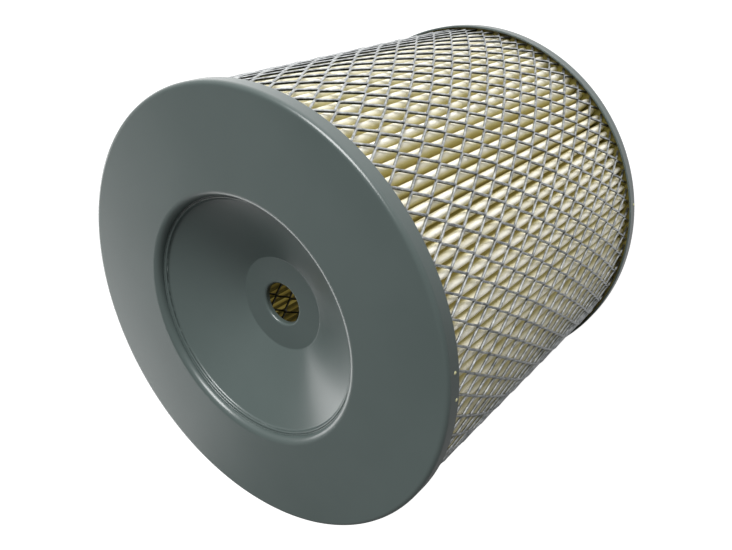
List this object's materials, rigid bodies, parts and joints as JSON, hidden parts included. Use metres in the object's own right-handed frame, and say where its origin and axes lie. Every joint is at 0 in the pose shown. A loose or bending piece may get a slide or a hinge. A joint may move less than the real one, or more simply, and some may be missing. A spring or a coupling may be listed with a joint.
{
  "type": "air filter element",
  "caption": "Round pleated paper air filter element with expanded metal sleeves, pressed steel end caps, one dished with a stud hole, and a sealing gasket on the open end.",
  "frame": {"origin": "centre of the gasket's sealing face, at the open end", "axes": "+Z along the filter's axis from the open end to the closed end"},
  "size_m": [0.128, 0.128, 0.1266],
  "materials": {
    "cap_paint": "satin blue-grey paint over pressed steel",
    "potting": "cured amber plastisol adhesive",
    "filter_paper": "resin-treated cream filter paper",
    "zinc_mesh": "zinc plated expanded metal",
    "weld_steel": "spot welds, slightly darkened",
    "gasket_rubber": "matt black closed-cell rubber",
    "gasket_glue": "dried contact adhesive"
  },
  "bodies": {
    "root": {"closed_end_cap": "cap_paint", "open_end_cap": "cap_paint", "closed_end_potting": "potting", "open_end_potting": "potting", "pleated_paper_media": "filter_paper", "media_seam_adhesive": "potting", "outer_mesh_sleeve": "zinc_mesh", "outer_mesh_seam_welds": "weld_steel", "inner_core": "zinc_mesh", "inner_core_seam_welds": "weld_steel", "sealing_gasket": "gasket_rubber", "gasket_adhesive": "gasket_glue"}
  },
  "joints": []
}
